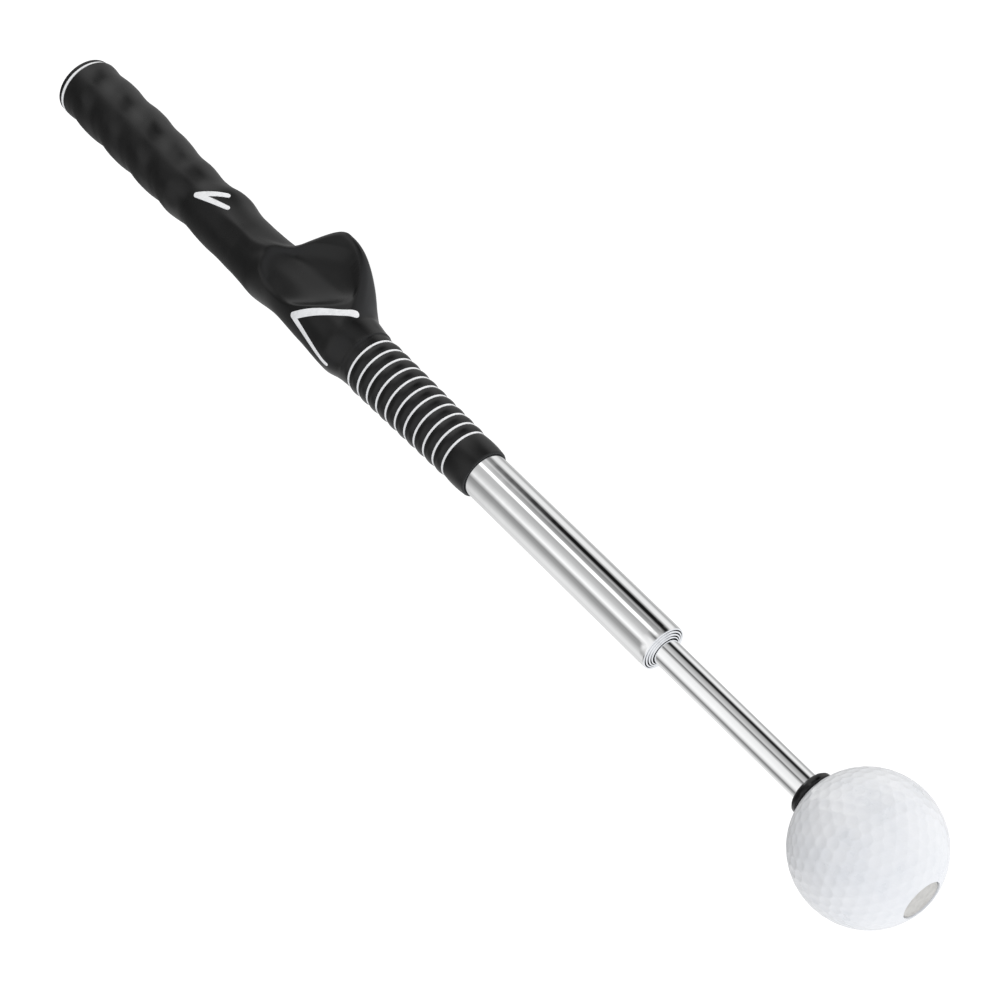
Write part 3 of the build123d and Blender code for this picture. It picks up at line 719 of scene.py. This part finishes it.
def build_ball():
    columns, rows = 620, 300
    back = math.pi - math.asin((BALL_SEAT_R + 0.5) / BALL_R)
    front = math.asin(COUNTERBORE_R / BALL_R)
    polar = np.linspace(back - 0.004, front + 0.012, rows)
    angle = np.arange(columns) * 2 * math.pi / columns
    direction = np.stack(np.broadcast_arrays(np.cos(polar)[:, None], np.sin(polar)[:, None] * np.cos(angle),
                                             np.sin(polar)[:, None] * np.sin(angle)), -1).reshape(-1, 3)
    centres = dimple_centres(DIMPLE_ROWS) @ np.array(DIMPLE_TILT).T
    lean = np.degrees(np.arccos(np.clip(centres[:, 0], -1, 1)))
    margin = math.degrees(1.5 / BALL_R)
    keep = (lean > math.degrees(front) + margin) & (lean < math.degrees(back) - margin * 0.4)
    centres = centres[keep]
    radius = np.empty(len(direction))
    for i in range(0, len(direction), CHUNK):
        nearest = np.clip((direction[i:i + CHUNK] @ centres.T).max(axis=1), -1, 1)
        reach = np.arccos(nearest) * BALL_R / DIMPLE_R
        bowl = np.clip(1 - reach ** 2, 0, 1)
        radius[i:i + CHUNK] = BALL_R - DIMPLE_DEPTH * bowl
    skin = direction * radius[:, None]
    skin[:, 0] += BALL_X
    far_x = BALL_X + BALL_R * math.cos(front)
    seat_rim = BALL_SEAT_R + 0.5
    seat_rim_x = BALL_X - math.sqrt(BALL_R ** 2 - seat_rim ** 2)
    inside = [(far_x - 0.03, COUNTERBORE_R + 0.12), (far_x - 0.1, COUNTERBORE_R + 0.03),
              (far_x - 0.25, COUNTERBORE_R), (COUNTERBORE_X, COUNTERBORE_R),
              (COUNTERBORE_X, BALL_HOLE_R), (ball_seat_x, BALL_HOLE_R), (ball_seat_x, seat_rim),
              (seat_rim_x, seat_rim)]
    inner = np.array([(x, r * math.cos(a), r * math.sin(a)) for x, r in inside for a in angle])
    points = np.concatenate([skin, inner])
    faces = loop_faces(rows + len(inside), columns, True)
    return make_object("ball_cover", points, [f[::-1] for f in faces], ball_skin, "ball_end",
                       ["ball"], 60)


build_ball()

end_plug_x = BALL_X + math.sqrt(BALL_R ** 2 - COUNTERBORE_R ** 2) - END_PLUG_RECESS
turned("end_plug_disc",
       [(end_plug_x - END_PLUG_LENGTH, 0), (end_plug_x - END_PLUG_LENGTH, COUNTERBORE_R - 0.01, 0.2),
        (end_plug_x - 0.9, COUNTERBORE_R - 0.01, 0.1), (end_plug_x - 0.9, COUNTERBORE_R - 0.25, 0.1),
        (end_plug_x, COUNTERBORE_R - 0.25, 0.3), (end_plug_x, 5.6, 0.2), (end_plug_x - 0.14, 5.35, 0.2),
        (end_plug_x - 0.22, 0)],
       plug_plastic, "ball_end", ["end_plug"])

# ------------------------------------------------------------------ CAD nodes that stay
for node, material in (("bush_2", brass), ("bush_3", brass), ("bush_4", brass), ("bush_5", brass),
                       ("rod_insert", steel), ("ball_screw", steel), ("screw_washer", steel)):
    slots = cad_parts[node].data.materials
    slots.clear()
    slots.append(material)

# ------------------------------------------------------------------ camera
CAMERA_PLACE = (0.63306, 0.0, 0.74893)              # metres along the stick, towards the wing, above the dish
CAMERA_LENS = 107.9
scene = bpy.context.scene
right = Vector((0.62499, 0.69767, -0.35021))
down = Vector((0.61029, -0.71642, -0.33808))
forward = Vector((-0.48677, -0.00243, -0.87353))
wing = Vector((0, math.cos(WING_CLOCK), math.sin(WING_CLOCK)))
face = Vector((0, -math.sin(WING_CLOCK), math.cos(WING_CLOCK)))
turn = Matrix(((1, 0, 0), wing, face)).transposed()
axes = [turn @ v for v in (right, -down, -forward)]
basis = Matrix(axes).transposed().to_quaternion().to_matrix()
camera_data = bpy.data.cameras.new("camera")
camera_data.lens = CAMERA_LENS
camera_data.sensor_width = 36
camera_data.clip_start = 0.02
camera_data.clip_end = 60
camera = bpy.data.objects.new("camera", camera_data)
scene.collection.objects.link(camera)
camera.matrix_world = Matrix.Translation(turn @ Vector(CAMERA_PLACE)) @ basis.to_4x4()
scene.camera = camera

# ------------------------------------------------------------------ floor and light
FLOOR_REACH, FLOOR_GAP = 30, 0.0002
floor_mesh = bpy.data.meshes.new("floor")
floor_corners = [(x * FLOOR_REACH, y * FLOOR_REACH, 0) for x, y in ((-1, -1), (1, -1), (1, 1), (-1, 1))]
floor_mesh.from_pydata(floor_corners, [], [(0, 1, 2, 3)])
floor = bpy.data.objects.new("floor", floor_mesh)
floor.location = (0, 0, cad_bounds[0][2] - FLOOR_GAP)
scene.collection.objects.link(floor)
pale = bpy.data.materials.new("floor_pale")
pale.use_nodes = True
surface = pale.node_tree.nodes["Principled BSDF"]
surface.inputs["Base Color"].default_value = (0.30, 0.30, 0.30, 1)
surface.inputs["Roughness"].default_value = 0.9
surface.inputs["Specular IOR Level"].default_value = 0.1
surface.inputs["Emission Color"].default_value = (1, 1, 1, 1)
surface.inputs["Emission Strength"].default_value = 0.92
floor_mesh.materials.append(pale)
floor.visible_glossy = False

# Softboxes and flags round the stick: (degrees round the stick from level on the wing's side, brightness).
STUDIO = ((-100, 0.70), (-75, 0.42), (-54, 0.95), (-36, 0.95), (-20, 0.01), (-6, 0.01), (4, 0.52),
          (11, 0.28), (25, 0.42), (31, 1.60), (38, 1.60), (45, 0.46), (66, 0.62), (80, 0.88), (92, 1.15),
          (109, 0.33), (125, 0.39), (161, 0.87), (220, 0.80), (238, 0.30))
# The room behind the butt is dimmer: a softbox on the wing's side, and a dark far wall.
BACK_ROOM = ((-150, 0.20), (-110, 0.35), (-50, 0.60), (-15, 1.00), (10, 1.50), (35, 1.30), (55, 0.60),
             (75, 0.32), (110, 0.20), (190, 0.16))
# Ahead of the mouth the boxes stand wider apart: two narrow flags and one long box between them.
ROD_ROOM = ((-110, 0.75), (-72, 0.42), (-44, 0.97), (-30, 0.90), (-14, 0.02), (0, 0.02), (12, 0.45),
            (38, 0.70), (48, 0.14), (68, 0.93), (112, 1.08), (126, 0.90), (148, 0.20), (170, 0.58),
            (200, 0.85))
PEAK = 3.0
world = bpy.data.worlds.new("studio")
world.use_nodes = True
tree = world.node_tree
place = tree.nodes.new("ShaderNodeTexCoord")
split = tree.nodes.new("ShaderNodeSeparateXYZ")
tree.links.new(place.outputs["Generated"], split.inputs["Vector"])
clock = tree.nodes.new("ShaderNodeMath")
clock.operation = "ARCTAN2"
tree.links.new(split.outputs["Z"], clock.inputs[0])
tree.links.new(split.outputs["Y"], clock.inputs[1])
share = tree.nodes.new("ShaderNodeMapRange")
share.inputs["From Min"].default_value = -math.pi
share.inputs["From Max"].default_value = math.pi
tree.links.new(clock.outputs[0], share.inputs["Value"])


def light_bands(levels):
    """Brightness of one part of the room, by direction round the stick."""
    node = tree.nodes.new("ShaderNodeValToRGB")
    elements = node.color_ramp.elements
    while len(elements) < len(levels):
        elements.new(0.5)
    stops = sorted((((degrees + 180) % 360) / 360, level / PEAK) for degrees, level in levels)
    for element, (position, level) in zip(elements, stops):
        element.position = position
        element.color = (level, level, level, 1)
    tree.links.new(share.outputs["Result"], node.inputs["Fac"])
    return node.outputs["Color"]


def part_of_room(first, second, start, end, interpolation="LINEAR"):
    """The first part of the room, giving way to the second between two reaches along the stick."""
    reach = tree.nodes.new("ShaderNodeMapRange")
    reach.interpolation_type = interpolation
    reach.inputs["From Min"].default_value = start
    reach.inputs["From Max"].default_value = end
    tree.links.new(split.outputs["X"], reach.inputs["Value"])
    mix = tree.nodes.new("ShaderNodeMix")
    mix.data_type = "RGBA"
    tree.links.new(reach.outputs["Result"], mix.inputs["Factor"])
    tree.links.new(first, mix.inputs[6])
    tree.links.new(second, mix.inputs[7])
    return mix.outputs[2]


even_front = tree.nodes.new("ShaderNodeRGB").outputs["Color"]
even_front.default_value = (0.312, 0.317, 0.328, 1)
room = part_of_room(light_bands(STUDIO), light_bands(BACK_ROOM), -0.46, -0.60, "SMOOTHSTEP")
room = part_of_room(room, light_bands(ROD_ROOM), -0.410, -0.400)
room = part_of_room(room, even_front, -0.22, 0.15, "SMOOTHSTEP")
path = tree.nodes.new("ShaderNodeLightPath")
backdrop = tree.nodes.new("ShaderNodeBackground")
backdrop.inputs["Color"].default_value = (1, 1, 1, 1)
backdrop.inputs["Strength"].default_value = 1.0
glow = tree.nodes["Background"]
glow.inputs["Strength"].default_value = PEAK
tree.links.new(room, glow.inputs["Color"])
choice = tree.nodes.new("ShaderNodeMixShader")
tree.links.new(path.outputs["Is Camera Ray"], choice.inputs["Fac"])
tree.links.new(glow.outputs["Background"], choice.inputs[1])
tree.links.new(backdrop.outputs["Background"], choice.inputs[2])
tree.links.new(choice.outputs["Shader"], tree.nodes["World Output"].inputs["Surface"])
scene.world = world
scene.view_settings.view_transform = "Standard"
